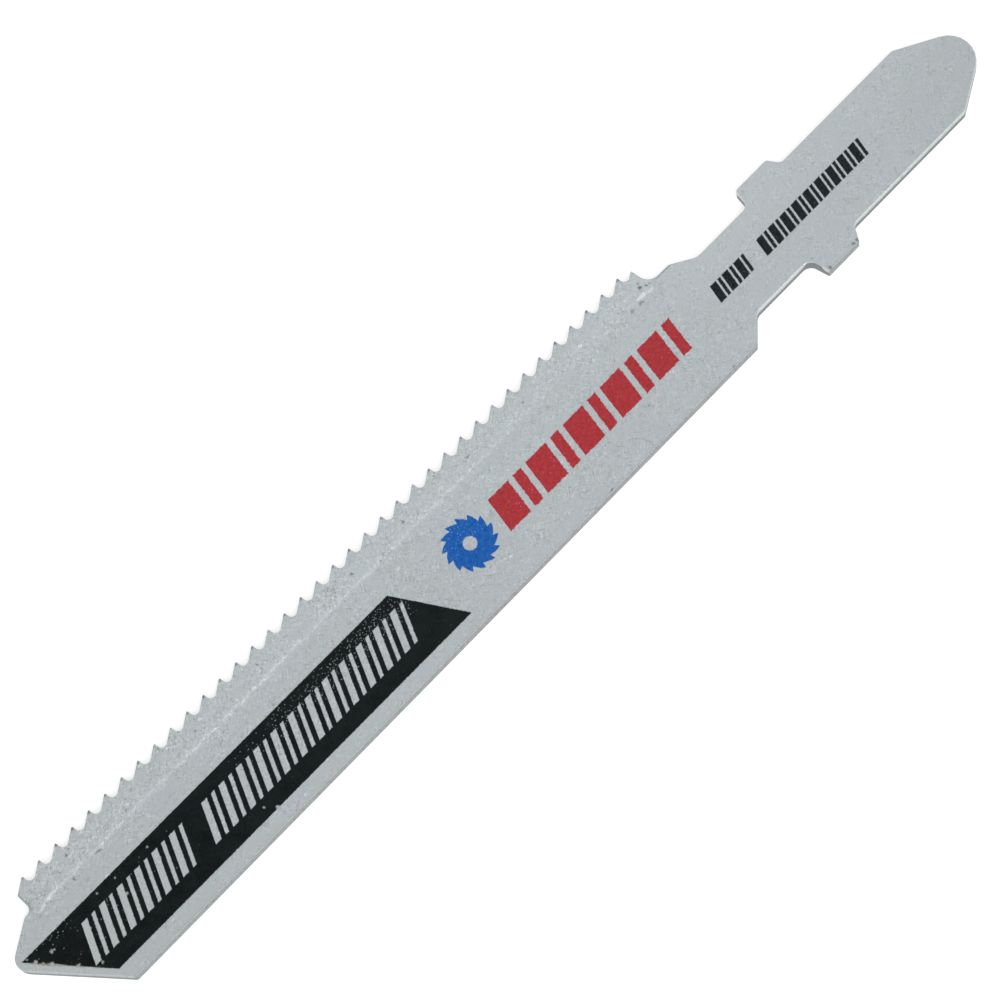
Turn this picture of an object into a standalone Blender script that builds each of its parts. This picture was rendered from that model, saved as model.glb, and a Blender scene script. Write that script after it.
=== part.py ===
"""A T-shank jigsaw blade for thin metal, punched from bimetal strip, milled, coated and printed.

Units are metres and +Z is up. The blade lies flat. X runs from the tip to the tang, Y runs from the back
edge to the teeth, and the plain face lies on Z = 0. The outline is laid out from the first tooth point
(x = 0) and the back edge (y = 0), and the finished blade is then centred on the origin.
"""

import math

import bmesh
import bpy
from mathutils import Vector
from mathutils.geometry import delaunay_2d_cdt

# Strip: a sheared edge rolls over at the printed face, and the strip's own edge, at y = 0, is nearly square
THICKNESS = 0.00090
BODY_WIDTH = 0.009525
SHEARED_ROLL = 0.00008
STRIP_ROLL = 0.00002

# Teeth, 18 to the inch: their points lean towards the tang, because the blade cuts on the way up
TOOTH_PITCH = 0.001411
TOOTH_COUNT = 38
TOOTH_BACK_ANGLE = math.radians(34.5)
TOOTH_RAKE = math.radians(8.0)
TOOTH_LAND = 0.00008
GULLET_RADIUS = 0.00033
SHORT_TOOTH_STEP = 0.00094
SHORT_TOOTH_DROP = 0.00032

# Tip
TIP_FACE_SETBACK = 0.00099
TIP_STEP_DEPTH = 0.00190
TIP_STEP_RADIUS = 0.00040
TIP_UPPER_ANGLE = math.radians(32.5)
TIP_LOWER_ANGLE = math.radians(49.6)
NOSE_REACH = 0.00440
NOSE_HEIGHT = 0.00583
NOSE_RADIUS = 0.00086

# Shoulders, where the body narrows to the neck
SHELF_DEPTH = 0.00174
SHELF_LENGTH = 0.00194
RUN_OUT_RADIUS = 0.00090
TOOTH_SHOULDER_LENGTH = 0.00156
BACK_SHOULDER_LEAD = 0.00017
BACK_SHOULDER_LENGTH = 0.00153
SHOULDER_RADIUS = 0.00100
BACK_SHOULDER_RADIUS = 0.00060

# Shank: neck, lugs and tang share one centre line
SHANK_AXIS = 0.00413
NECK_WIDTH = 0.00535
NECK_LENGTH = 0.00482
LUG_LENGTH = 0.00336
LUG_HEIGHT = 0.00809
LUG_REAR_LEAN = math.radians(32.0)
TOOTH_LUG_LEAN = math.radians(7.0)
BACK_LUG_LEAN = math.radians(12.5)
TOOTH_LUG_FILLET = 0.00055
BACK_LUG_FILLET = 0.00070
LUG_CORNER_RADIUS = 0.00025
TANG_FILLET = 0.00045
TANG_WIDTH = 0.00627
TANG_LENGTH = 0.01024
TANG_TAPER = math.radians(30.0)
TANG_NOSE_RADIUS = 0.00178

# Small radii that break the other corners
BACK_CORNER_RADIUS = 0.00020
SOFT_CORNER_RADIUS = 0.00050
BREAK_RADIUS = 0.00010

# How finely the arcs are drawn, and how much of a short side its two arcs may take together
CORNER_STEPS = 8
GULLET_STEPS = 8
ROLL_STEPS = 2
ARC_SHARE = 0.99

# Black print on the body, and the pairs of slanted bars, a wide one and a narrow one, left bare in it
BAND_LOW = 0.00107
BAND_NOSE_DROP = 0.00017
BAND_TIP_MARGIN = 0.00054
BAND_LENGTH = 0.03129
BAND_END_LEAN = 0.00278
BAR_LOW = 0.00220
BAR_HIGH = 0.00470
BAR_LEAN = 0.00114
WIDE_BAR = 0.00048
NARROW_BAR = 0.00027
BAR_PITCH = 0.00148
LEFT_BARS_MARGIN = 0.00012
LEFT_BARS = 6
RIGHT_BARS_MARGIN = 0.00019
RIGHT_BARS = 12

# Coloured print: a toothed disc with a bare hole, then pairs of blocks
DISC_GAP = 0.00122
DISC_RADIUS = 0.00186
DISC_TEETH = 14
DISC_TOOTH_DEPTH = 0.00036
DISC_HOLE_RADIUS = 0.00046
DISC_LEVEL = 0.00419
BLOCK_GAP = 0.00040
WIDE_BLOCK = 0.00178
NARROW_BLOCK = 0.00072
BLOCK_PITCH = 0.00332
BLOCKS = 5
BLOCK_LOW = 0.00286
BLOCK_HIGH = 0.00532
BLOCK_LEAN = 0.00045

# Small black bars on the shank, counted from the end of the body, with one pair left out
SHANK_BARS_START = 0.00035
WIDE_SHANK_BAR = 0.00054
NARROW_SHANK_BAR = 0.00024
SHANK_BAR_PITCH = 0.00105
SHANK_BAR_LEAN = 0.00030
SHANK_BAR_HEIGHT = 0.00128
SHANK_BAR_LEVEL = 0.00419
SHANK_BARS = 13
SHANK_BAR_GAP = 3

# Places along the blade that follow from the sizes above
LAST_TOOTH = TOOTH_PITCH * (TOOTH_COUNT - 1)
SHORT_TOOTH = LAST_TOOTH + SHORT_TOOTH_STEP
SHELF_LEVEL = BODY_WIDTH - SHELF_DEPTH
BODY_END = SHORT_TOOTH + SHELF_LENGTH
TOOTH_NECK_START = BODY_END + TOOTH_SHOULDER_LENGTH
BACK_SHOULDER_START = BODY_END - BACK_SHOULDER_LEAD
BACK_NECK_START = BACK_SHOULDER_START + BACK_SHOULDER_LENGTH
NECK_LOW = SHANK_AXIS - NECK_WIDTH / 2
NECK_HIGH = SHANK_AXIS + NECK_WIDTH / 2
LUG_START = TOOTH_NECK_START + NECK_LENGTH
LUG_END = LUG_START + LUG_LENGTH
TANG_LOW = SHANK_AXIS - TANG_WIDTH / 2
TANG_HIGH = SHANK_AXIS + TANG_WIDTH / 2
TAPER_START = LUG_END + TANG_LENGTH
TANG_APEX = TAPER_START + TANG_WIDTH / 2 / math.tan(TANG_TAPER)
TIP_CUT_RUN = 1.0 / math.tan(TIP_LOWER_ANGLE)
BACK_CORNER = NOSE_HEIGHT * TIP_CUT_RUN - NOSE_REACH
BAND_HIGH = NOSE_HEIGHT - BAND_NOSE_DROP
BAND_FOOT = BACK_CORNER + BAND_TIP_MARGIN / math.sin(TIP_LOWER_ANGLE)
BAND_END = BAND_FOOT - BAND_HIGH * TIP_CUT_RUN + BAND_LENGTH
DISC_START = BAND_END + BAND_END_LEAN + DISC_GAP
BLOCK_START = DISC_START + 2.0 * DISC_RADIUS + BLOCK_GAP


def arc(centre, radius, start, end, steps):
    """Points on a round stretch, both ends included."""
    points = []
    for step in range(steps + 1):
        angle = start + (end - start) * step / steps
        points.append(centre + radius * Vector((math.cos(angle), math.sin(angle))))
    return points


def rounded(corners):
    """Round a clockwise run of (x, y, radius) corners, without its two ends.

    Returns the points and, for each, the unit direction into the strip.
    """
    places = [Vector(corner[:2]) for corner in corners]
    last = len(corners) - 1
    half_angles = [math.pi / 2] * len(corners)
    setbacks = [0.0] * len(corners)
    for i in range(1, last):
        before = places[i - 1] - places[i]
        after = places[i + 1] - places[i]
        half_angles[i] = before.angle(after) / 2
        setbacks[i] = corners[i][2] / math.tan(half_angles[i])

    # Where two radii would meet on a short side, both give way in proportion
    shares = [1.0] * len(corners)
    for i in range(last):
        side = (places[i + 1] - places[i]).length
        wanted = setbacks[i] + setbacks[i + 1]
        if wanted > side:
            shares[i] = min(shares[i], ARC_SHARE * side / wanted)
            shares[i + 1] = min(shares[i + 1], ARC_SHARE * side / wanted)

    points = []
    inward = []
    for i in range(1, last):
        setback = setbacks[i] * shares[i]
        radius = setback * math.tan(half_angles[i])
        before = (places[i - 1] - places[i]).normalized()
        after = (places[i + 1] - places[i]).normalized()
        centre = places[i] + (before + after).normalized() * radius / math.sin(half_angles[i])
        spoke = places[i] + before * setback - centre
        far_spoke = places[i] + after * setback - centre
        start = math.atan2(spoke.y, spoke.x)
        turn = math.remainder(math.atan2(far_spoke.y, far_spoke.x) - start, math.tau)
        towards_centre = 1.0 if turn < 0.0 else -1.0
        for point in arc(centre, radius, start, start + turn, CORNER_STEPS):
            points.append(point)
            inward.append((centre - point).normalized() * towards_centre)
    return points, inward


def gullet(front, back):
    """The hollow from one tooth's front corner to the next tooth's back corner, tangent to both faces."""
    face_normal = Vector((math.cos(TOOTH_RAKE), math.sin(TOOTH_RAKE)))
    slope_normal = Vector((-math.sin(TOOTH_BACK_ANGLE), math.cos(TOOTH_BACK_ANGLE)))
    face_side = face_normal.dot(front) + GULLET_RADIUS
    slope_side = slope_normal.dot(back) + GULLET_RADIUS
    spread = face_normal.x * slope_normal.y - face_normal.y * slope_normal.x
    centre = Vector((
        (face_side * slope_normal.y - slope_side * face_normal.y) / spread,
        (face_normal.x * slope_side - slope_normal.x * face_side) / spread,
    ))
    floor = arc(
        centre,
        GULLET_RADIUS,
        math.pi + TOOTH_RAKE,
        1.5 * math.pi + TOOTH_BACK_ANGLE,
        GULLET_STEPS,
    )
    return [front] + floor + [back]


def tooth_row():
    """The teeth from the tip's face to the short tooth."""
    half_land = TOOTH_LAND / 2
    ramp_drop = (TIP_FACE_SETBACK - half_land) * math.tan(TOOTH_BACK_ANGLE)
    row = [
        Vector((-TIP_FACE_SETBACK, BODY_WIDTH - ramp_drop)),
        Vector((-half_land, BODY_WIDTH)),
    ]
    for tooth in range(TOOTH_COUNT):
        point = tooth * TOOTH_PITCH
        front = Vector((point + half_land, BODY_WIDTH))
        if tooth < TOOTH_COUNT - 1:
            back = Vector((point + TOOTH_PITCH - half_land, BODY_WIDTH))
        else:
            back = Vector((SHORT_TOOTH - half_land, BODY_WIDTH - SHORT_TOOTH_DROP))
        row += gullet(front, back)
    row.append(row[-1] + Vector((TOOTH_LAND, 0.0)))
    return row


def tooth_side_edge():
    """From the short tooth to the tang's taper, along the tooth side."""
    front = Vector((SHORT_TOOTH + TOOTH_LAND / 2, BODY_WIDTH - SHORT_TOOTH_DROP))
    run_out = front.x + (front.y - SHELF_LEVEL) * math.tan(TOOTH_RAKE)
    flank_base = LUG_START - (LUG_HEIGHT - NECK_HIGH) * math.tan(TOOTH_LUG_LEAN)
    rear_corner = LUG_END - (LUG_HEIGHT - TANG_HIGH) * math.tan(LUG_REAR_LEAN)
    return [
        (front.x, front.y, 0.0),
        (run_out, SHELF_LEVEL, RUN_OUT_RADIUS),
        (BODY_END, SHELF_LEVEL, SOFT_CORNER_RADIUS),
        (TOOTH_NECK_START, NECK_HIGH, SHOULDER_RADIUS),
        (flank_base, NECK_HIGH, TOOTH_LUG_FILLET),
        (LUG_START, LUG_HEIGHT, LUG_CORNER_RADIUS),
        (rear_corner, LUG_HEIGHT, LUG_CORNER_RADIUS),
        (LUG_END, TANG_HIGH, TANG_FILLET),
        (TAPER_START, TANG_HIGH, SOFT_CORNER_RADIUS),
        (TANG_APEX, SHANK_AXIS, TANG_NOSE_RADIUS),
    ]


def back_side_edge():
    """From the tang's taper to the tip's face, along the back edge and round the nose."""
    flank_base = LUG_START - NECK_LOW * math.tan(BACK_LUG_LEAN)
    rear_corner = LUG_END - TANG_LOW * math.tan(LUG_REAR_LEAN)
    step_level = BODY_WIDTH - TIP_STEP_DEPTH
    step_start = (step_level - NOSE_HEIGHT) / math.tan(TIP_UPPER_ANGLE) - NOSE_REACH
    ramp_drop = (TIP_FACE_SETBACK - TOOTH_LAND / 2) * math.tan(TOOTH_BACK_ANGLE)
    return [
        (TAPER_START, TANG_LOW, SOFT_CORNER_RADIUS),
        (LUG_END, TANG_LOW, TANG_FILLET),
        (rear_corner, 0.0, BREAK_RADIUS),
        (LUG_START, 0.0, BREAK_RADIUS),
        (flank_base, NECK_LOW, BACK_LUG_FILLET),
        (BACK_NECK_START, NECK_LOW, BACK_SHOULDER_RADIUS),
        (BACK_SHOULDER_START, 0.0, BACK_CORNER_RADIUS),
        (BACK_CORNER, 0.0, BACK_CORNER_RADIUS),
        (-NOSE_REACH, NOSE_HEIGHT, NOSE_RADIUS),
        (step_start, step_level, SOFT_CORNER_RADIUS),
        (-TIP_FACE_SETBACK, step_level, TIP_STEP_RADIUS),
        (-TIP_FACE_SETBACK, BODY_WIDTH - ramp_drop, 0.0),
    ]


def blade_outline():
    """The whole outline, anticlockwise from above, and how far each point's edge rolls into the strip.

    The milled teeth have no roll.
    """
    outline = tooth_row()
    rolls = [Vector((0.0, 0.0))] * len(outline)
    plain_edge, inward = rounded(tooth_side_edge() + back_side_edge())
    for place, direction in zip(plain_edge, inward):
        sheared = min(1.0, place.y / SHEARED_ROLL)
        rolls.append(direction * (STRIP_ROLL + (SHEARED_ROLL - STRIP_ROLL) * sheared))
    outline += plain_edge
    outline.reverse()
    rolls.reverse()
    return outline, rolls


def slanted_field(start, length, low, high, lean):
    """A parallelogram of print: its lower left corner is at start, and its top leans towards the tang."""
    return [
        Vector((start, low)),
        Vector((start + length, low)),
        Vector((start + length + lean, high)),
        Vector((start + lean, high)),
    ]


def band_field():
    """The black band: its left end runs parallel to the tip's lower edge."""
    return [
        Vector((BAND_FOOT - BAND_LOW * TIP_CUT_RUN, BAND_LOW)),
        Vector((BAND_END + BAND_END_LEAN, BAND_LOW)),
        Vector((BAND_END, BAND_HIGH)),
        Vector((BAND_FOOT - BAND_HIGH * TIP_CUT_RUN, BAND_HIGH)),
    ]


def bar_pairs(start, count, pitch, wide, narrow, low, high, lean):
    """Pairs of slanted bars, each a wide one and a narrow one with even gaps between them."""
    gap = (pitch - wide - narrow) / 2
    pairs = []
    for pair in range(count):
        left = start + pair * pitch
        pairs.append((
            slanted_field(left, wide, low, high, lean),
            slanted_field(left + wide + gap, narrow, low, high, lean),
        ))
    return pairs


def bare_bars():
    """The bars left bare in the band, in two groups, one from each end of the band."""
    first_left = BAND_FOOT - BAR_LOW * TIP_CUT_RUN + LEFT_BARS_MARGIN
    end_rise = (BAND_HIGH - BAR_HIGH) / (BAND_HIGH - BAND_LOW)
    last_bar_end = BAND_END + BAND_END_LEAN * end_rise - RIGHT_BARS_MARGIN - BAR_LEAN
    gap = (BAR_PITCH - WIDE_BAR - NARROW_BAR) / 2
    first_right = last_bar_end + gap - RIGHT_BARS * BAR_PITCH
    size = (BAR_PITCH, WIDE_BAR, NARROW_BAR, BAR_LOW, BAR_HIGH, BAR_LEAN)
    return bar_pairs(first_left, LEFT_BARS, *size) + bar_pairs(first_right, RIGHT_BARS, *size)


def shank_bars():
    """The small bars along the middle of the neck and the tang."""
    low = SHANK_BAR_LEVEL - SHANK_BAR_HEIGHT / 2
    high = SHANK_BAR_LEVEL + SHANK_BAR_HEIGHT / 2
    start = BODY_END + SHANK_BARS_START
    size = (SHANK_BAR_PITCH, WIDE_SHANK_BAR, NARROW_SHANK_BAR, low, high, SHANK_BAR_LEAN)
    pairs = bar_pairs(start, SHANK_BARS, *size)
    return pairs[:SHANK_BAR_GAP] + pairs[SHANK_BAR_GAP + 1:]


def toothed_disc(centre):
    """A ring of points like a small round saw: each tooth has a radial face and a straight back."""
    points = []
    for tooth in range(DISC_TEETH):
        angle = math.tau * tooth / DISC_TEETH
        ray = Vector((math.cos(angle), math.sin(angle)))
        points.append(centre + ray * DISC_RADIUS)
        points.append(centre + ray * (DISC_RADIUS - DISC_TOOTH_DEPTH))
    return points


def print_fields():
    """Each field of print as (corners, material number); a later field lies over an earlier one."""
    steel, black, blue, red = range(4)
    centre = Vector((DISC_START + DISC_RADIUS, DISC_LEVEL))
    hole = arc(centre, DISC_HOLE_RADIUS, 0.0, math.tau, 2 * CORNER_STEPS)[:-1]
    block_size = (BLOCK_PITCH, WIDE_BLOCK, NARROW_BLOCK, BLOCK_LOW, BLOCK_HIGH, BLOCK_LEAN)
    fields = [(band_field(), black)]
    fields += [(bar, steel) for pair in bare_bars() for bar in pair]
    fields += [(toothed_disc(centre), blue), (hole, steel)]
    fields += [(block, red) for pair in bar_pairs(BLOCK_START, BLOCKS, *block_size) for block in pair]
    fields += [(bar, black) for pair in shank_bars() for bar in pair]
    return fields


def cap(bm, ring, outline, fields, level, upwards):
    """Close one side of the blade: a flat face with each field of print as faces of its own."""
    places = list(outline)
    loops = [list(range(len(outline)))]
    for corners, material in fields:
        loops.append(list(range(len(places), len(places) + len(corners))))
        places += corners

    triangles_inside = 1
    merge_distance = 1e-8
    laid_out = delaunay_2d_cdt(places, [], loops, triangles_inside, merge_distance)
    flat_places, edges, faces, sources, edge_sources, owners = laid_out
    corners = []
    for place, source in zip(flat_places, sources):
        rim = [i for i in source if i < len(ring)]
        corners.append(ring[rim[0]] if rim else bm.verts.new((place.x, place.y, level)))
    for face, owner in zip(faces, owners):
        order = face if upwards else reversed(face)
        made = bm.faces.new([corners[i] for i in order])
        if max(owner) > 0:
            made.material_index = fields[max(owner) - 1][1]


def blade_mesh():
    """The blade as one closed body: two caps joined by a wall that rolls over at its upper edge."""
    outline, rolls = blade_outline()
    bm = bmesh.new()
    drawn = [list(outline)]
    rings = [[bm.verts.new((place.x, place.y, 0.0)) for place in outline]]
    for step in range(ROLL_STEPS + 1):
        angle = math.pi / 2 * step / ROLL_STEPS
        flat = [place + roll * (1.0 - math.cos(angle)) for place, roll in zip(outline, rolls)]
        heights = [THICKNESS - roll.length * (1.0 - math.sin(angle)) for roll in rolls]
        drawn.append(flat)
        rings.append([bm.verts.new((place.x, place.y, height)) for place, height in zip(flat, heights)])

    count = len(outline)
    for lower, upper in zip(rings, rings[1:]):
        for i in range(count):
            onward = (i + 1) % count
            bm.faces.new((lower[i], lower[onward], upper[onward], upper[i]))
    cap(bm, rings[0], drawn[0], [], 0.0, upwards=False)
    cap(bm, rings[-1], drawn[-1], print_fields(), THICKNESS, upwards=True)
    return bm


def centre_on_origin(bm):
    """Move the blade so that its bounding box is centred on X = 0 and Y = 0."""
    for axis in range(2):
        places = [vert.co[axis] for vert in bm.verts]
        middle = (min(places) + max(places)) / 2
        for vert in bm.verts:
            vert.co[axis] -= middle


def surface(name, colour, roughness, metallic):
    """A Principled material."""
    material = bpy.data.materials.new(name)
    material.use_nodes = True
    shader = material.node_tree.nodes["Principled BSDF"]
    shader.inputs["Base Color"].default_value = (*colour, 1.0)
    shader.inputs["Roughness"].default_value = roughness
    shader.inputs["Metallic"].default_value = metallic
    return material


def clear_scene():
    for thing in list(bpy.context.scene.objects):
        bpy.data.objects.remove(thing, do_unlink=True)


def main():
    clear_scene()
    bm = blade_mesh()
    centre_on_origin(bm)
    mesh = bpy.data.meshes.new("blade")
    bm.to_mesh(mesh)
    bm.free()
    mesh.materials.append(surface("coated_steel", (0.42, 0.46, 0.47), 0.45, 0.6))
    mesh.materials.append(surface("black_ink", (0.008, 0.011, 0.011), 0.55, 0.0))
    mesh.materials.append(surface("blue_ink", (0.011, 0.115, 0.42), 0.5, 0.0))
    mesh.materials.append(surface("red_ink", (0.41, 0.032, 0.040), 0.5, 0.0))
    blade = bpy.data.objects.new("blade", mesh)
    bpy.context.scene.collection.objects.link(blade)


main()
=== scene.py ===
import math

import bpy
from mathutils import Matrix, Vector


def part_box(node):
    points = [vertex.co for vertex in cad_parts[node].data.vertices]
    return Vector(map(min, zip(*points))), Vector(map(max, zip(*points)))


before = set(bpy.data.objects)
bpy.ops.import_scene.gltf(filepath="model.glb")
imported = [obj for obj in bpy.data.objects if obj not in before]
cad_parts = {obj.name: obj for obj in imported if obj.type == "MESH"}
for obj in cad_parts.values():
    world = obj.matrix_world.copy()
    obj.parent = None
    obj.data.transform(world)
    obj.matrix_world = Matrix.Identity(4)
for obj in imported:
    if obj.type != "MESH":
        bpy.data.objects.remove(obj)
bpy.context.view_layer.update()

# Looks of a T-shank jigsaw blade: coated steel with a weld seam, worn print and sheared edges, on a white
# floor under soft studio light. Surface places are in millimetres: u runs along the blade from the first
# tooth point, v across it from the back edge, and h up from the underside.
MM = 0.001
NOISE_START = (31.3, 47.9, 23.7)
NOISE_ROUGHNESS = 0.6

# The blade, as in its own source
NOSE_AHEAD = 3.952
THICKNESS = 0.90
BODY_WIDTH = 9.525
BODY_END = 55.087
TOOTH_PITCH = 1.411
LAST_FULL_TOOTH = 52.2
TIP_LOWER_ANGLE = math.radians(49.6)
TIP_CUT_RUN = 1.0 / math.tan(TIP_LOWER_ANGLE)
NOSE_REACH = 4.40
NOSE_HEIGHT = 5.83
BACK_CORNER = NOSE_HEIGHT * TIP_CUT_RUN - NOSE_REACH
LUG_FILLET = (61.12, 0.95)

# The dark spot on a tooth point: how far from the point it lies towards the tip, and how far below it
POINT_SHIFT = 0.05
POINT_DROP = 0.07

# The tooth strip's foot and its end towards the shank, each as a ramp, and the weld seam along the foot
STRIP_FOOT = (7.0, 7.8)
STRIP_END = (54.5, 53.0)
SEAM_LEVEL = 7.44
SEAM_RISE = 0.12
SEAM_DROP_AT_TIP = 0.25
SEAM_FAINT_AT = 25.2
DARK_LINE_DROP = 0.17
SECOND_LINE_RISE = 0.54

# Black band, printed a little out of line with the blade, and the pairs of bars left bare in it
BAND_TURN = 0.0031
BAND_PIVOT = 9.3
BAND_LOW = 1.07
BAND_HIGH = 5.68
BAND_LEFT_RUN = 0.831
BAND_INSET = 0.595
BAND_FOOT = BACK_CORNER + BAND_INSET
BAND_CORNER = BAND_FOOT - BAND_HIGH * BAND_LEFT_RUN
BAND_TOP_LENGTH = 31.31
BAND_END = BAND_CORNER + BAND_TOP_LENGTH
CHIPS_BEGIN = BAND_CORNER + 0.35
CHIPS_ALL_THERE = BAND_CORNER + 0.60
BAND_END_LEAN = 2.78
BAR_PITCH = 1.48
BAR_LEAN = 1.14
BAR_LOW = 2.24
BAR_HIGH = 4.74
BAR_WIDE = 0.48
BAR_NARROW = 0.27
BAND_BARS = {
    "pitch": BAR_PITCH,
    "wide": BAR_WIDE,
    "narrow": BAR_NARROW,
    "low": BAR_LOW,
    "high": BAR_HIGH,
    "lean": BAR_LEAN,
}
LEFT_BARS = 6
LEFT_MARGIN = 0.12
LEFT_BARS_START = BAND_FOOT - BAR_LOW * BAND_LEFT_RUN + LEFT_MARGIN
RIGHT_BARS = 12
RIGHT_MARGIN = 0.19
BAR_GAP = (BAR_PITCH - BAR_WIDE - BAR_NARROW) / 2
BAND_END_AT_BAR_TOP = BAND_END + BAND_END_LEAN * (BAND_HIGH - BAR_HIGH) / (BAND_HIGH - BAND_LOW)
RIGHT_BARS_START = BAND_END_AT_BAR_TOP - RIGHT_MARGIN - BAR_LEAN + BAR_GAP - RIGHT_BARS * BAR_PITCH

# Coloured print: a toothed disc beside the band, and a row of blocks
DISC_RADIUS = 1.86
DISC_TEETH = 14
DISC_TOOTH_DEPTH = 0.36
DISC_HOLE_RADIUS = 0.46
DISC_LEVEL = 4.19
DISC_GAP = 1.22
DISC_CENTRE = BAND_END + BAND_END_LEAN + DISC_GAP + DISC_RADIUS
BLOCK_PAIRS = 5
BLOCKS = {"pitch": 3.32, "wide": 1.78, "narrow": 0.72, "low": 2.86, "high": 5.32, "lean": 0.45}
BLOCK_GAP = 0.40
BLOCK_START = DISC_CENTRE + DISC_RADIUS + BLOCK_GAP

# Small black bars on the shank, in two groups
SHANK_PITCH = 1.05
SHANK_BARS = {"pitch": SHANK_PITCH, "wide": 0.54, "narrow": 0.24, "low": 3.55, "high": 4.83, "lean": 0.30}
FIRST_SHANK_BARS = 3
SHANK_MARGIN = 0.35
SHANK_BARS_START = BODY_END + SHANK_MARGIN
OTHER_SHANK_BARS = 9
OTHER_SHANK_BARS_START = SHANK_BARS_START + (FIRST_SHANK_BARS + 1) * SHANK_PITCH

# How the ink lies: how far down it reaches, how soft its edge is, and how much of it a pinhole takes
INK_DEPTH = 0.015
INK_EDGE = 0.025
PINHOLE = 0.56

# Finish
METALLIC = 0.50
STEEL_ROUGHNESS = 0.46
INK_ROUGHNESS = 0.58
SPECULAR = 0.05

# How far from either face the looks of the side walls begin, and where they are all there
WALL_BEGINS = 0.006
WALL_ALL_THERE = 0.020

# Colours, linear
STEEL = (0.448, 0.484, 0.500)
# The burnished band of the sheared edges, bright with a painted highlight on the shank, and dimmer on the
# tip
BURNISHED_AND_HIGHLIGHT = (0.610, 0.648, 0.660)
TIP_BURNISHED = (0.465, 0.498, 0.508)
TORN_METAL = (0.231, 0.252, 0.250)
STRIP_EDGE = (0.358, 0.382, 0.382)
# A dark grey for pits, smudges, tooth points and wall streaks, also used for painted shade along some edges
DARK_MARK_AND_SHADE_GREY = (0.105, 0.115, 0.120)
BLACK_INK = (0.0034, 0.0052, 0.0055)
THIN_BLACK = (0.0098, 0.0140, 0.0145)
SHANK_INK = (0.0095, 0.0140, 0.0150)
THIN_SHANK_INK = (0.0185, 0.0260, 0.0270)
BLUE_INK = (0.0040, 0.0700, 0.3100)
THIN_BLUE = (0.0300, 0.1500, 0.4950)
WORN_BLUE = (0.2000, 0.4600, 0.8500)
RED_INK = (0.3250, 0.0270, 0.0340)
THIN_RED = (0.4700, 0.0530, 0.0612)
WORN_RED = (0.7200, 0.2900, 0.3300)
TAN_FRINGE = (0.150, 0.125, 0.060)

# Marks, listed one by one: u, v, radius and strength; all but the round ones are drawn long
ROUND_SMUDGES = (
    (-0.84, 8.08, 0.14, 0.55),
    (-0.84, 8.24, 0.12, 0.50),
    (-0.85, 6.95, 0.14, 0.35),
    (-0.05, 7.27, 0.11, 0.50),
    (-0.55, 6.60, 0.12, 0.25),
    (2.13, 7.09, 0.14, 0.75),
    (2.79, 8.51, 0.15, 0.75),
    (3.68, 8.45, 0.12, 0.30),
    (19.15, 8.46, 0.11, 0.60),
    (25.80, 8.32, 0.11, 0.45),
    (27.22, 8.20, 0.15, 0.70),
    (31.75, 8.24, 0.15, 0.70),
    (42.35, 8.20, 0.12, 0.45),
    (51.30, 7.28, 0.19, 0.50),
    (52.77, 8.06, 0.18, 0.85),
    (52.84, 8.32, 0.12, 0.55),
    (53.15, 7.83, 0.11, 0.75),
    (53.42, 7.80, 0.09, 0.45),
    (52.90, 0.08, 0.11, 0.55),
    (61.39, 1.39, 0.11, 0.30),
    (61.70, 0.12, 0.17, 0.70),
    (63.84, 0.15, 0.16, 0.65),
    (64.16, 0.16, 0.16, 0.65),
)
LONG_SMUDGES = (
    (-0.98, 7.66, 0.14, 0.25),
    (4.37, 7.25, 0.12, 0.55),
    (37.50, 8.26, 0.12, 0.55),
    (41.99, 0.10, 0.08, 0.70),
    (52.12, 7.26, 0.14, 0.55),
    (54.25, 7.78, 0.14, 0.35),
    (54.70, 7.76, 0.14, 0.35),
)
PALE_MARKS = (
    (-0.60, 7.16, 0.10, 0.50),
    (-0.25, 7.26, 0.14, 0.60),
    (0.40, 7.40, 0.14, 0.60),
    (0.80, 7.44, 0.14, 0.50),
    (3.08, 8.32, 0.14, 0.35),
    (47.40, 8.18, 0.12, 0.80),
    (52.15, 7.57, 0.13, 0.80),
    (52.50, 7.55, 0.16, 1.00),
    (53.15, 7.43, 0.13, 0.80),
)
LONG_MARK = (2.2, 1.0, 1.0)

# Specks worn out of the print, given in the same way and drawn round
SPECKS = (
    (-3.24, 5.60, 0.10, 0.55),
    (-2.99, 5.10, 0.15, 0.80),
    (-2.35, 4.29, 0.17, 0.85),
    (-1.87, 4.87, 0.15, 0.80),
    (-1.69, 4.82, 0.11, 0.60),
    (-1.30, 3.05, 0.14, 0.80),
    (-0.17, 2.12, 0.12, 0.60),
    (-0.08, 2.60, 0.10, 0.50),
    (0.08, 2.98, 0.13, 0.75),
    (0.37, 3.53, 0.10, 0.55),
    (0.40, 3.93, 0.13, 0.75),
    (0.69, 4.17, 0.15, 0.85),
    (2.50, 5.44, 0.10, 0.60),
    (3.75, 4.07, 0.13, 0.85),
    (3.92, 5.31, 0.10, 0.55),
    (4.87, 4.19, 0.13, 0.75),
    (5.24, 4.59, 0.10, 0.60),
    (6.58, 5.23, 0.10, 0.60),
    (6.66, 4.16, 0.10, 0.60),
    (13.20, 1.70, 0.10, 0.60),
    (13.78, 1.12, 0.16, 0.90),
)

# A faint hairline that curves down to the back edge, and a short scratch beside it
HAIRLINE_CENTRE = (44.52, 0.31)
HAIRLINE_RADIUS = 1.33
HAIRLINE_START = 45.0
SCRATCH_LEVEL = 46.07
SCRATCH_ENDS = (44.18, 44.56)


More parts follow.
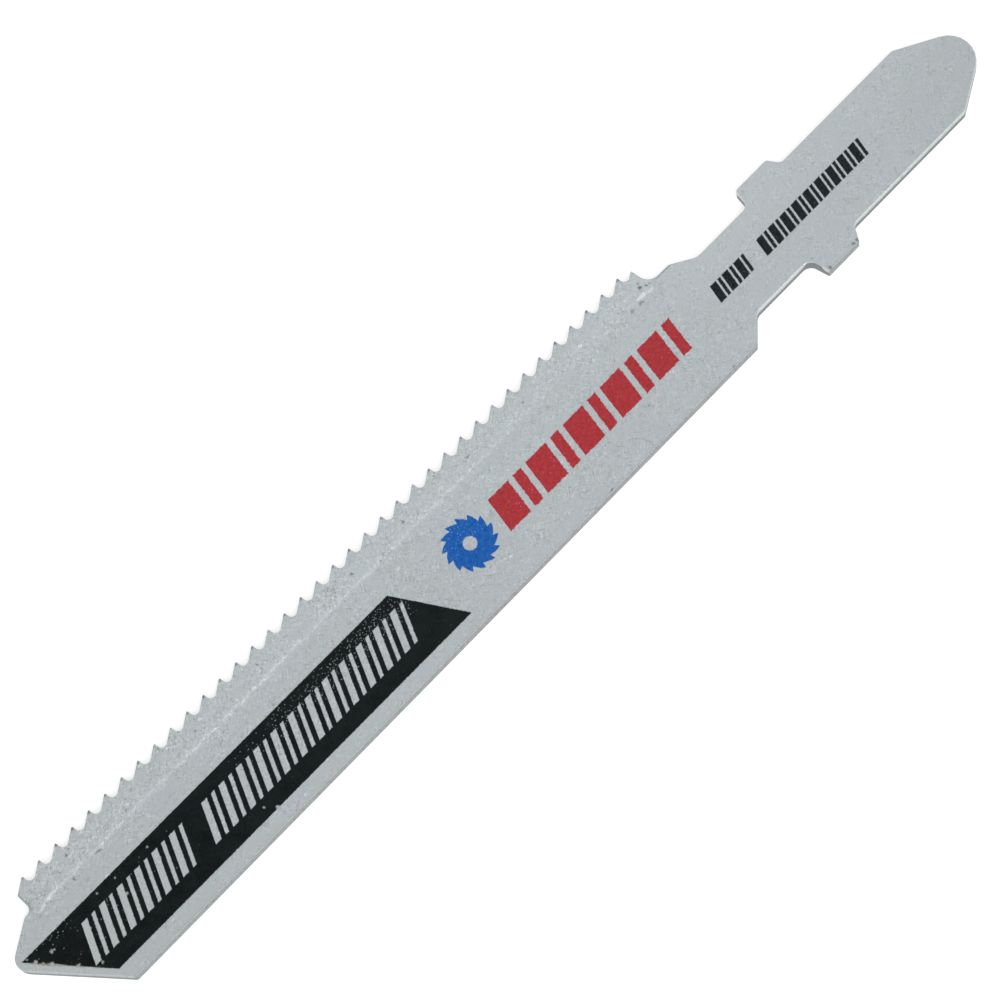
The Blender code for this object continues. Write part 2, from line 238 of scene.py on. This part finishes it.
class Field:
    """A number that varies over the surface: the output of a shader node, with plain arithmetic."""

    def __init__(self, tree, socket):
        self.tree = tree
        self.socket = socket

    def math(self, operation, *others, clamp=False):
        node = self.tree.nodes.new("ShaderNodeMath")
        node.operation = operation
        node.use_clamp = clamp
        for target, value in zip(node.inputs, (self, *others)):
            if isinstance(value, Field):
                self.tree.links.new(value.socket, target)
            else:
                target.default_value = value
        return Field(self.tree, node.outputs[0])

    def __add__(self, other):
        return self.math("ADD", other)

    def __sub__(self, other):
        return self.math("SUBTRACT", other)

    def __mul__(self, other):
        return self.math("MULTIPLY", other)

    def __neg__(self):
        return self.math("MULTIPLY", -1.0)

    def __abs__(self):
        return self.math("ABSOLUTE")

    def ramp(self, low, high):
        """Nothing at low and one at high, with a straight ramp between; low may be the greater."""
        return self.math("MULTIPLY_ADD", 1.0 / (high - low), -low / (high - low), clamp=True)


def least(*fields):
    result = fields[0]
    for field in fields[1:]:
        result = result.math("MINIMUM", field)
    return result


def greatest(*fields):
    result = fields[0]
    for field in fields[1:]:
        result = result.math("MAXIMUM", field)
    return result


def flipped(mask):
    """One less the mask."""
    return mask.math("MULTIPLY_ADD", -1.0, 1.0)


# The colour sockets of a Mix node, by number because they share their names with others
MIX_UNDER = 6
MIX_OVER = 7
MIX_RESULT = 2


class Surface:
    """One material's nodes, with the blade's own coordinates in millimetres."""

    def __init__(self, name):
        self.material = bpy.data.materials.new(name)
        self.material.use_nodes = True
        self.tree = self.material.node_tree
        self.shader = self.tree.nodes["Principled BSDF"]
        low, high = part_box("blade")
        coordinates = self.tree.nodes.new("ShaderNodeTexCoord")
        place = self.tree.nodes.new("ShaderNodeMapping")
        place.inputs["Location"].default_value = (-low.x / MM - NOSE_AHEAD, -low.y / MM, -low.z / MM)
        place.inputs["Scale"].default_value = (1.0 / MM, 1.0 / MM, 1.0 / MM)
        self.tree.links.new(coordinates.outputs["Object"], place.inputs["Vector"])
        self.place = place.outputs["Vector"]
        parts = self.tree.nodes.new("ShaderNodeSeparateXYZ")
        self.tree.links.new(self.place, parts.inputs[0])
        self.u, self.v, self.h = (Field(self.tree, socket) for socket in parts.outputs)
        self.noise_place = self.placed(NOISE_START, (1.0, 1.0, 1.0), 0.0)

    def placed(self, start, stretch, turn):
        """The coordinates for a pattern that begins at a given place, turned in plan and stretched."""
        mapping = self.tree.nodes.new("ShaderNodeMapping")
        mapping.vector_type = "TEXTURE"
        mapping.inputs["Location"].default_value = start
        mapping.inputs["Rotation"].default_value = (0.0, 0.0, turn)
        mapping.inputs["Scale"].default_value = stretch
        self.tree.links.new(self.place, mapping.inputs["Vector"])
        return mapping.outputs["Vector"]

    def noise(self, per_mm, detail=1.0, stretch=(1.0, 1.0, 1.0), turn=0.0):
        """Soft noise about nothing, mostly within 0.25 of it; each plain pattern has a scale of its own."""
        node = self.tree.nodes.new("ShaderNodeTexNoise")
        node.inputs["Scale"].default_value = per_mm
        node.inputs["Detail"].default_value = detail
        node.inputs["Roughness"].default_value = NOISE_ROUGHNESS
        even = stretch == (1.0, 1.0, 1.0) and turn == 0.0
        source = self.noise_place if even else self.placed(NOISE_START, stretch, turn)
        self.tree.links.new(source, node.inputs["Vector"])
        return Field(self.tree, node.outputs["Fac"]) - 0.5

    def cells(self, per_mm, stretch=(1.0, 1.0, 1.0), turn=0.0):
        """Scattered points: the distance to the nearest, in cells, and that point's random number."""
        node = self.tree.nodes.new("ShaderNodeTexVoronoi")
        node.inputs["Scale"].default_value = per_mm
        self.tree.links.new(self.placed(NOISE_START, stretch, turn), node.inputs["Vector"])
        colour = self.tree.nodes.new("ShaderNodeSeparateColor")
        self.tree.links.new(node.outputs["Color"], colour.inputs[0])
        return Field(self.tree, node.outputs["Distance"]), Field(self.tree, colour.outputs[0])

    def marks(self, places, blur, stretch=(1.0, 1.0, 1.0)):
        """Soft marks on the upper face, from their places, radii and strengths."""
        plan = self.tree.nodes.new("ShaderNodeMapping")
        plan.vector_type = "TEXTURE"
        plan.inputs["Scale"].default_value = stretch
        self.tree.links.new(self.place, plan.inputs["Vector"])
        result = []
        for u, v, radius, strength in places:
            away = self.tree.nodes.new("ShaderNodeVectorMath")
            away.operation = "DISTANCE"
            away.inputs[1].default_value = (u / stretch[0], v / stretch[1], THICKNESS / stretch[2])
            self.tree.links.new(plan.outputs["Vector"], away.inputs[0])
            distance = Field(self.tree, away.outputs["Value"]) + blur
            result.append(distance.ramp(radius, radius * 0.35) * strength)
        return greatest(*result)

    def away(self, u, v):
        """How far a point lies from a place, seen in plan, in millimetres."""
        across = self.u - u
        up = self.v - v
        return (across * across + up * up).math("SQRT")

    def colour(self, value):
        """A colour socket from three parts, each a field or a plain number."""
        node = self.tree.nodes.new("ShaderNodeCombineColor")
        for target, part in zip(node.inputs, value):
            if isinstance(part, Field):
                self.tree.links.new(part.socket, target)
            else:
                target.default_value = part
        return node.outputs[0]

    def mix(self, under, over, mask):
        """The colour over, laid on the colour under where the mask is one. over may be a plain colour."""
        node = self.tree.nodes.new("ShaderNodeMix")
        node.data_type = "RGBA"
        self.tree.links.new(mask.socket, node.inputs["Factor"])
        self.tree.links.new(under, node.inputs[MIX_UNDER])
        if isinstance(over, tuple):
            node.inputs[MIX_OVER].default_value = (*over, 1.0)
        else:
            self.tree.links.new(over, node.inputs[MIX_OVER])
        return node.outputs[MIX_RESULT]


# Shapes of print: each is how far a point lies inside the shape, in millimetres, and below nothing outside

def bar_pairs(s, level, start, count, pitch, wide, narrow, low, high, lean):
    """A row of pairs of slanted bars, a wide one and a narrow one."""
    gap = (pitch - wide - narrow) / 2
    along = s.u - (level - low) * (lean / (high - low)) - start
    step = along.math("FLOORED_MODULO", pitch)
    wide_bar = least(step, -(step - wide))
    narrow_bar = least(step - (wide + gap), -(step - (wide + gap + narrow)))
    row = least(along + gap / 2, -(along - (count * pitch - gap / 2)))
    return least(greatest(wide_bar, narrow_bar), row, level - low, -(level - high))


def band_level(s):
    """The distance from the back edge, as the band's print has it."""
    return s.v + (s.u - BAND_PIVOT) * BAND_TURN


def band_left(s):
    """The band's left end runs nearly parallel to the tip's lower edge."""
    return (s.u + s.v * BAND_LEFT_RUN - BAND_FOOT) * math.cos(math.atan(BAND_LEFT_RUN))


def band(s, level):
    lean = BAND_END_LEAN / (BAND_HIGH - BAND_LOW)
    right = -(s.u + (level - BAND_HIGH) * lean - BAND_END) * math.cos(math.atan(lean))
    return least(band_left(s), right, level - BAND_LOW, -(level - BAND_HIGH))


def toothed_disc(s):
    """A disc with straight-backed teeth and a bare hole."""
    across = s.u - DISC_CENTRE
    up = s.v - DISC_LEVEL
    radius = s.away(DISC_CENTRE, DISC_LEVEL)
    turn = up.math("ARCTAN2", across) * (DISC_TEETH / math.tau)
    tooth = turn.math("FLOORED_MODULO", 1.0)
    rim = tooth * DISC_TOOTH_DEPTH + (DISC_RADIUS - DISC_TOOTH_DEPTH)
    return least(rim - radius, radius - DISC_HOLE_RADIUS)


def black_print(s):
    """The band less its bare bars, and the two groups of bars on the shank."""
    level = band_level(s)
    bare_left = bar_pairs(s, level, LEFT_BARS_START, LEFT_BARS, **BAND_BARS)
    bare_right = bar_pairs(s, level, RIGHT_BARS_START, RIGHT_BARS, **BAND_BARS)
    first = bar_pairs(s, s.v, SHANK_BARS_START, FIRST_SHANK_BARS, **SHANK_BARS)
    others = bar_pairs(s, s.v, OTHER_SHANK_BARS_START, OTHER_SHANK_BARS, **SHANK_BARS)
    return greatest(least(band(s, level), -bare_left, -bare_right), first, others)


# Steel, without print

def tooth_strip(s):
    """One on the strip that carries the teeth, and nothing below the seam and on the shank."""
    return s.v.ramp(*STRIP_FOOT) * s.u.ramp(*STRIP_END)


def weld_seam(s):
    """A broken pale line, a haze about it, and a dark line and a second pale one beside parts of it."""
    level = s.u.ramp(0.0, 50.0) * SEAM_RISE - s.u.ramp(0.8, -0.8) * SEAM_DROP_AT_TIP + SEAM_LEVEL
    line = s.v - level + s.noise(0.83, detail=2.0) * 0.20 + s.noise(4.7) * 0.25
    on_body = s.u.ramp(54.0, 53.2) * s.u.ramp(-1.0, -0.2)
    bright = s.noise(0.67, stretch=(1.6, 0.6, 1.0)).ramp(-0.06, 0.18)
    flecked = s.noise(6.9, stretch=(1.6, 1.0, 1.0), turn=math.radians(15)).ramp(-0.08, 0.12)
    faint = abs(s.u - SEAM_FAINT_AT).ramp(2.2, 1.0) * 0.50
    pale = abs(line).ramp(0.16, 0.03) * flecked * (bright * 0.45 + 0.50) * flipped(faint) * on_body
    haze = abs(line).ramp(0.45, 0.0) * on_body
    broken = s.noise(1.63, detail=2.0).ramp(0.02, 0.20)
    dark = abs(line + DARK_LINE_DROP).ramp(0.08, 0.02) * broken * on_body
    second = abs(line - SECOND_LINE_RISE).ramp(0.10, 0.03) * on_body
    second = second * (s.noise(1.37, detail=2.0) + s.u.ramp(38.0, 42.0) * 0.10).ramp(0.04, 0.14)
    return pale, haze, dark, second * flecked


def steel_tone(s, strip):
    """The coating's slow changes over the blade: darker at the tip and the tooth points, with painted shade
    along the back edge.
    """
    along = s.u.ramp(-4.0, 30.0) * 0.040 + s.u.ramp(30.0, 58.0) * 0.045 - s.u.ramp(60.0, 76.0) * 0.045
    across = s.v.ramp(3.5, 6.5) * s.u.ramp(0.0, 55.0) * 0.050
    teeth = s.v.ramp(8.5, 9.2) * 0.040
    # Painted shade: the face is darkened along the back edge, where its rounded edge turns away from the
    # light.
    rim = s.v.ramp(0.24, 0.0) * 0.070
    above_seam = abs(s.v - 7.95).ramp(0.40, 0.10) * s.u.ramp(40.0, 20.0) * 0.028
    tang_end = s.v.ramp(6.4, 7.2) * s.u.ramp(34.0, 46.0) * s.u.ramp(*STRIP_END) * 0.028
    return along + across + strip * 0.050 - teeth - rim - above_seam - tang_end - 0.105


def strokes(s, per_mm, length, turn):
    """Short strokes in one direction, pale ones less dark ones."""
    angle = math.radians(turn)
    pale = s.noise(per_mm, stretch=(length, 1.0, 1.0), turn=angle).ramp(0.06, 0.22)
    dark = s.noise(per_mm * 0.87, stretch=(length, 1.0, 1.0), turn=angle).ramp(0.06, 0.22)
    return pale - dark


def hairlines(s):
    """Two faint dark lines near the back edge, one curved and one slanting down at 45 degrees."""
    bend = s.noise(2.9) * 0.15
    curve = abs(s.away(*HAIRLINE_CENTRE) - HAIRLINE_RADIUS + bend).ramp(0.06, 0.02)
    curve = curve * s.u.ramp(HAIRLINE_START - 0.05, HAIRLINE_START + 0.05)
    start, end = SCRATCH_ENDS
    scratch = abs(s.u + s.v - SCRATCH_LEVEL).ramp(0.08, 0.03)
    scratch = scratch * least(s.u - start, -(s.u - end)).ramp(-0.02, 0.04)
    return greatest(curve, scratch)


def coating(s, strip, shank):
    """The plain coating: how much paler it is than its mean, and its relief, in millimetres."""
    patches = s.noise(0.47, detail=2.0)
    spots = s.noise(1.17, detail=2.0).ramp(-0.12, 0.12)
    calm = greatest(s.u.ramp(12.0, 0.0) * s.v.ramp(7.0, 5.0), s.u.ramp(34.0, 28.0) * s.v.ramp(1.4, 1.0))
    busy = strip * (s.u.ramp(45.0, 35.0) * 0.12 + 0.25)
    rough = spots * 0.90 + patches * 1.5 + busy - shank * 0.30 - calm * 0.48 + 0.54

    mottle = s.noise(1.61, detail=2.0)
    grain = s.noise(4.1)
    fine = s.noise(7.3)
    sparkle = s.noise(11.3)
    flecks = s.noise(8.3).ramp(0.12, 0.24) - s.noise(7.7).ramp(0.12, 0.24)
    lines = strokes(s, 9.9, 3.2, 48) * 0.125 + strokes(s, 9.1, 2.8, -40) * 0.11
    texture = mottle * 0.04 + grain * 0.02 + fine * 0.02 + sparkle * 0.31 + flecks * 0.17 + lines
    tone = steel_tone(s, strip) + texture * rough + s.noise(0.11) * 0.05 + patches * 0.03
    return tone, grain * 0.010 + fine * 0.014


def dark_points_and_edge_shade(s, blur):
    """Dark tooth points, and painted shade along the edges of the tip's step and of the shelf behind the
    teeth.
    """
    step = (s.u + TOOTH_PITCH / 2).math("FLOORED_MODULO", TOOTH_PITCH) - (TOOTH_PITCH / 2 - POINT_SHIFT)
    drop = s.v - (BODY_WIDTH - POINT_DROP)
    tips = (step * step + drop * drop).math("SQRT") + blur * 0.5
    tips = tips.ramp(0.17, 0.06) * s.u.ramp(LAST_FULL_TOOTH + 0.5, LAST_FULL_TOOTH + 0.4)
    tips = tips * s.noise(0.89).ramp(-0.30, 0.20)
    # Painted shade: dark bands on the face at the tip's step and the shelf, edges turned away from the
    # light.
    step_edge_shade = (s.u + blur * 0.5).ramp(-0.80, -0.90) * s.v.ramp(7.5, 7.8) * 0.45
    shelf_edge_shade = (s.v + blur * 0.3).ramp(7.60, 7.70) * s.u.ramp(53.6, 54.1) * s.u.ramp(55.6, 54.9) * 0.45
    return greatest(tips * 0.9, step_edge_shade, shelf_edge_shade)


def steel_surface(s):
    """The coated steel: its colour and its relief, in millimetres, without print or edges."""
    strip = tooth_strip(s)
    shank = s.u.ramp(53.0, 56.0)
    tone, relief = coating(s, strip, shank)

    pale, haze, dark, second = weld_seam(s)
    faded = s.u.ramp(32.0, 42.0)
    tone = tone + pale * (faded * -0.28 + 0.43) + haze * (faded * -0.034 + 0.050) + second * 0.20
    tone = tone - dark * 0.16 - hairlines(s) * 0.17

    # Pale nicks and dark pits, most above the seam and none on the shank, and the listed marks
    blur = s.noise(6.4) * 0.25
    nick_distance, nick_pick = s.cells(1.9, stretch=(1.6, 1.0, 1.0), turn=math.radians(20))
    nicks = (nick_distance + blur * 0.4).ramp(0.20, 0.10) * (nick_pick - strip * 0.16).ramp(0.09, 0.07)
    pit_distance, pit_pick = s.cells(1.3)
    pits = (pit_distance + blur * 0.4).ramp(0.13, 0.05) * (pit_pick - strip * 0.10).ramp(0.05, 0.03)
    tone = tone + nicks * flipped(shank) * 0.22 + s.marks(PALE_MARKS, blur, LONG_MARK) * 0.40
    smudges = greatest(s.marks(ROUND_SMUDGES, blur), s.marks(LONG_SMUDGES, blur, LONG_MARK))
    # The dark spots hold pits, smudges and the dark tooth points, and the painted shade along the tip's
    # step and the shelf.
    dark_spots_and_edge_shade = greatest(pits * flipped(shank) * 0.6, smudges, dark_points_and_edge_shade(s, blur))

    level = tone + 1.0
    red_tint = s.noise(0.91) * 0.045
    blue_tint = s.noise(0.73) * 0.045 - s.u.ramp(14.0, -4.0) * 0.020
    steel = s.colour((
        (level + red_tint) * STEEL[0],
        level * STEEL[1],
        (level + blue_tint) * STEEL[2],
    ))
    return s.mix(steel, DARK_MARK_AND_SHADE_GREY, dark_spots_and_edge_shade), relief


# Print on the steel, the side walls, and all of them together

def wear(s):
    """How thin the print is: pinholes in a few clusters, and thinly scattered."""
    ragged = s.noise(9.7) * 0.7
    distance, pick = s.cells(7.6, stretch=(1.2, 1.0, 1.0), turn=math.radians(25))
    cluster = s.noise(0.79, detail=2.0).ramp(-0.04, 0.10)
    upper = s.v.ramp(3.5, 4.1) * s.v.ramp(5.6, 5.3)
    right_end = s.u.ramp(12.0, 21.0) * s.u.ramp(30.0, 28.0) * upper * 0.90
    left_end = s.u.ramp(9.0, 5.0) * cluster * s.v.ramp(2.2, 3.2) * 0.45
    disc = s.u.ramp(31.0, 32.0) * s.u.ramp(36.0, 35.0) * s.v.ramp(3.9, 4.4) * 0.60
    block_row = least(s.v - 3.40, -(s.v - 4.05)).ramp(0.0, 0.15)
    block_row = block_row * s.u.ramp(36.5, 37.2) * (s.u.ramp(39.6, 38.8) * 0.45 + 0.22)
    blocks = s.u.ramp(36.0, 37.0) * s.u.ramp(55.0, 52.0) * cluster * 0.20
    worn = greatest(right_end, left_end, disc, block_row, blocks) + 0.010
    return (distance + ragged).ramp(0.34, 0.10) * (worn - pick).ramp(-0.02, 0.20)


def chipped_end(s):
    """How far the band's left end is chipped back, in millimetres; its upper corner is whole."""
    near_end = band_left(s).ramp(0.5, 0.1) * s.v.ramp(2.8, 5.0)
    near_end = near_end * s.u.ramp(CHIPS_BEGIN, CHIPS_ALL_THERE)
    return s.noise(3.7, detail=2.0).ramp(0.02, 0.20) * near_end * 0.28


def printed(s, steel):
    """The colour of the steel with its worn print on it, and how much ink lies there."""
    ragged = s.noise(5.3) * 0.15
    black = (black_print(s) + ragged * 0.5 - chipped_end(s)).ramp(-INK_EDGE, INK_EDGE)
    blue = (toothed_disc(s) + ragged * 0.7).ramp(-INK_EDGE, INK_EDGE)
    red = (bar_pairs(s, s.v, BLOCK_START, BLOCK_PAIRS, **BLOCKS) + ragged).ramp(-INK_EDGE, INK_EDGE)
    worn = wear(s) * PINHOLE
    specks = s.marks(SPECKS, s.noise(6.1) * 0.2)
    upper_face = s.h.ramp(THICKNESS - INK_DEPTH, THICKNESS - INK_DEPTH / 3)
    solid = flipped(greatest(worn, specks)) * upper_face

    # The ink is thinner in places: finely everywhere, and in broad patches in the band too
    fine = s.noise(4.3) + s.noise(9.1)
    broad = s.noise(0.71, detail=2.0) * 0.8 + fine * 0.45 + s.u.ramp(0.0, 30.0) * 0.22
    band_ink = s.mix(s.colour(BLACK_INK), THIN_BLACK, broad.ramp(-0.13, 0.35))
    shank_ink = s.mix(s.colour(SHANK_INK), THIN_SHANK_INK, fine.ramp(-0.17, 0.17))
    black_ink = s.mix(band_ink, shank_ink, s.u.ramp(50.0, 51.0))
    colour = s.mix(steel, black_ink, black * solid)
    coloured = fine.ramp(-0.42, 0.42)
    blue_ink = s.mix(s.mix(s.colour(BLUE_INK), THIN_BLUE, coloured), WORN_BLUE, worn)
    colour = s.mix(colour, blue_ink, blue * upper_face)
    red_ink = s.mix(s.mix(s.colour(RED_INK), THIN_RED, coloured), WORN_RED, worn)
    colour = s.mix(colour, red_ink, red * upper_face)

    # A tan fringe at the band's left end
    fringe = abs(band_left(s) + ragged).ramp(0.11, 0.05) * s.noise(1.57).ramp(-0.10, 0.12)
    fringe = fringe * least(s.v - BAND_LOW, -(s.v - BAND_HIGH)).ramp(0.3, 0.5) * solid
    colour = s.mix(colour, TAN_FRINGE, fringe * (s.v.ramp(3.5, 5.2) * 0.3 + 0.5))
    return colour, greatest(black, blue, red) * solid


def side_walls(s):
    """The strip's own edge, which is even, and the sheared edges, burnished above and torn below; the
    burnished band carries a painted highlight, bright on the shank and dim on the tip.
    """
    streaks = s.noise(6.0, stretch=(1.0, 1.0, 4.0))
    ragged_line = s.noise(2.5, detail=2.0, stretch=(1.0, 1.0, 8.0)) * 0.25
    # Painted highlight: the burnished band is brightest on the shank and stops near the lug fillet, where
    # the wall shows torn metal.
    shank = s.u.ramp(56.0, 57.0)
    burnished_and_highlight = s.mix(s.colour(TIP_BURNISHED), BURNISHED_AND_HIGHLIGHT, shank)
    tear = s.h + ragged_line + shank * 0.06 - s.away(*LUG_FILLET).ramp(0.68, 0.45) * 0.45
    sheared = s.mix(burnished_and_highlight, TORN_METAL, tear.ramp(0.63, 0.55))
    edge = s.mix(s.colour(STRIP_EDGE), sheared, s.v.ramp(0.02, 0.04))
    nicked = s.v.ramp(0.14, 0.02) * s.noise(3.9).ramp(0.05, 0.15)
    return s.mix(edge, DARK_MARK_AND_SHADE_GREY, greatest(streaks.ramp(0.06, 0.30), nicked) * 0.35)


def blade_material():
    """The steel, the print on it and the side walls, in one material."""
    s = Surface("coated_steel")
    steel, relief = steel_surface(s)
    colour, inked = printed(s, steel)
    wall = s.h.ramp(THICKNESS - WALL_BEGINS, THICKNESS - WALL_ALL_THERE)
    wall = wall * s.h.ramp(WALL_BEGINS, WALL_ALL_THERE)
    colour = s.mix(colour, side_walls(s), wall)
    metal = flipped(inked) * METALLIC
    roughness = inked * (INK_ROUGHNESS - STEEL_ROUGHNESS) + STEEL_ROUGHNESS

    s.tree.links.new(colour, s.shader.inputs["Base Color"])
    s.tree.links.new(metal.socket, s.shader.inputs["Metallic"])
    s.tree.links.new(roughness.socket, s.shader.inputs["Roughness"])
    s.shader.inputs["Specular IOR Level"].default_value = SPECULAR
    bump = s.tree.nodes.new("ShaderNodeBump")
    bump.inputs["Strength"].default_value = 1.0
    bump.inputs["Distance"].default_value = MM
    s.tree.links.new(relief.socket, bump.inputs["Height"])
    s.tree.links.new(bump.outputs[0], s.shader.inputs["Normal"])
    return s.material


def dress_blade():
    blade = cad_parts["blade"]
    blade.data.materials.clear()
    blade.data.materials.append(blade_material())


# Studio

FLOOR_SIZE = 6.0
FLOOR_DROP = 0.00002
FLOOR_COLOUR = (0.60, 0.60, 0.60)
FLOOR_LIFT = 0.60
SKY_LEVEL = 0.56
KEY_POWER = 2.7
KEY_SIZE = 0.5
KEY_PLACE = Vector((-0.10, -0.36, 0.58))


def seen_directly(tree):
    """One for rays from the camera, in a reflection or through glass."""
    path = tree.nodes.new("ShaderNodeLightPath")
    camera = Field(tree, path.outputs["Is Camera Ray"])
    glossy = Field(tree, path.outputs["Is Glossy Ray"])
    through = Field(tree, path.outputs["Is Transmission Ray"])
    return greatest(camera, glossy, through)


def floor():
    mesh = bpy.data.meshes.new("floor")
    half = FLOOR_SIZE / 2
    corners = [(-half, -half, 0.0), (half, -half, 0.0), (half, half, 0.0), (-half, half, 0.0)]
    mesh.from_pydata(corners, [], [(0, 1, 2, 3)])
    plane = bpy.data.objects.new("floor", mesh)
    plane.location.z = -FLOOR_DROP
    bpy.context.scene.collection.objects.link(plane)
    material = bpy.data.materials.new("white_floor")
    material.use_nodes = True
    tree = material.node_tree
    shader = tree.nodes["Principled BSDF"]
    shader.inputs["Base Color"].default_value = (*FLOOR_COLOUR, 1.0)
    shader.inputs["Roughness"].default_value = 1.0
    shader.inputs["Specular IOR Level"].default_value = 0.0
    shader.inputs["Emission Color"].default_value = (1.0, 1.0, 1.0, 1.0)
    lift = seen_directly(tree) * FLOOR_LIFT
    tree.links.new(lift.socket, shader.inputs["Emission Strength"])
    mesh.materials.append(material)


def sky():
    world = bpy.data.worlds.new("studio")
    world.use_nodes = True
    tree = world.node_tree
    background = tree.nodes["Background"]
    background.inputs["Color"].default_value = (1.0, 1.0, 1.0, 1.0)
    level = seen_directly(tree) * (1.0 - SKY_LEVEL) + SKY_LEVEL
    tree.links.new(level.socket, background.inputs["Strength"])
    bpy.context.scene.world = world


def key_light():
    light = bpy.data.lights.new("key", "AREA")
    light.energy = KEY_POWER
    light.size = KEY_SIZE
    lamp = bpy.data.objects.new("key", light)
    lamp.location = KEY_PLACE
    lamp.rotation_euler = (-KEY_PLACE).to_track_quat("-Z", "Y").to_euler()
    bpy.context.scene.collection.objects.link(lamp)


# Camera, at the photograph's viewing angle, with focal length in picture widths
FOCAL_LENGTH = 3.63312
DISTANCE = 0.22527524
TARGET = Vector((-0.0003979, 0.00028919, 0.0))
BACK = Vector((-0.1423, -0.2871, 0.9473))
ROLL = -0.35219
SENSOR_WIDTH = 36.0
NEAREST = 0.01
FARTHEST = 20.0


def camera():
    data = bpy.data.cameras.new("camera")
    data.sensor_width = SENSOR_WIDTH
    data.lens = FOCAL_LENGTH * SENSOR_WIDTH
    data.clip_start = NEAREST
    data.clip_end = FARTHEST
    view = bpy.data.objects.new("camera", data)
    back = BACK.normalized()
    level_right = Vector((0.0, 0.0, 1.0)).cross(back).normalized()
    level_up = back.cross(level_right)
    right = math.cos(ROLL) * level_right + math.sin(ROLL) * level_up
    up = -math.sin(ROLL) * level_right + math.cos(ROLL) * level_up
    turn = Matrix((right, up, back)).transposed().to_4x4()
    view.matrix_world = Matrix.Translation(TARGET + back * DISTANCE) @ turn
    bpy.context.scene.collection.objects.link(view)
    bpy.context.scene.camera = view


dress_blade()
floor()
sky()
key_light()
camera()
bpy.context.scene.view_settings.view_transform = "Standard"
